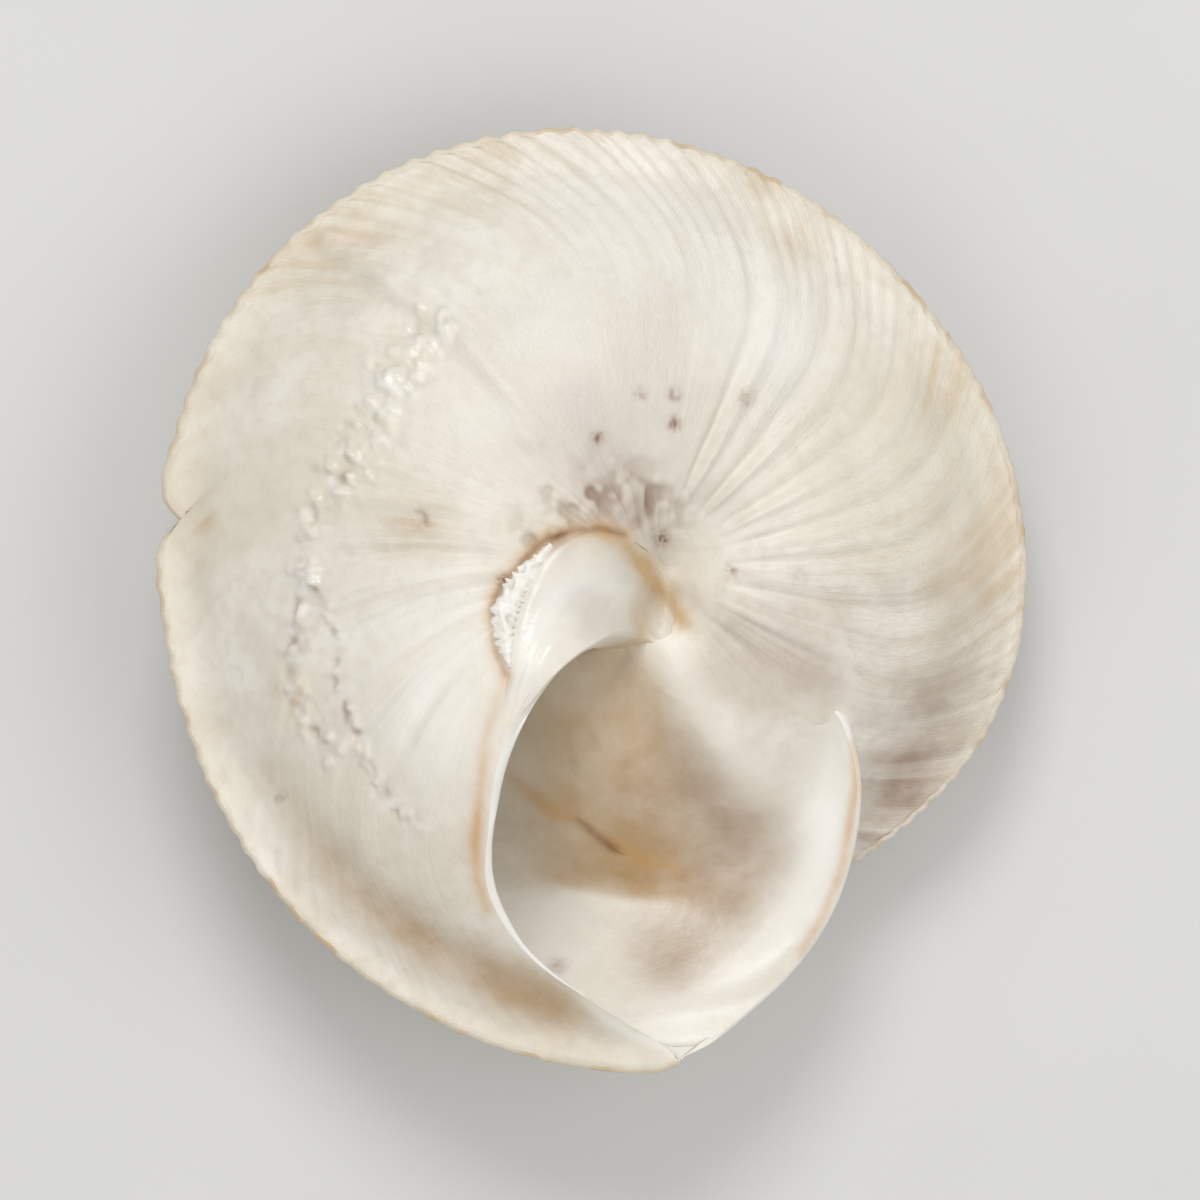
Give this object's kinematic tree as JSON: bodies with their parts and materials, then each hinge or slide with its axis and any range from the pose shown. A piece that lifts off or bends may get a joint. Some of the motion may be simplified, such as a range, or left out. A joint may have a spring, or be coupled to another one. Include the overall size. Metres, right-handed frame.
{
  "type": "sphincterochila chionodiscus shell",
  "caption": "Flat, sharply keeled land snail shell with a low spire, a wide slanting mouth and a callus closing the umbilicus.",
  "frame": {"origin": "middle of the small worn flat on the apex, which is what the shell rests on", "axes": "+Z along the coiling axis from the apex to the base of the shell, so the mouth opens upwards; the mouth is on the -Y side and the last whorl comes to it from -X"},
  "size_m": [0.0202, 0.0218, 0.009],
  "materials": {
    "shell": "satin"
  },
  "bodies": {
    "root": {"shell": "shell"}
  },
  "joints": []
}
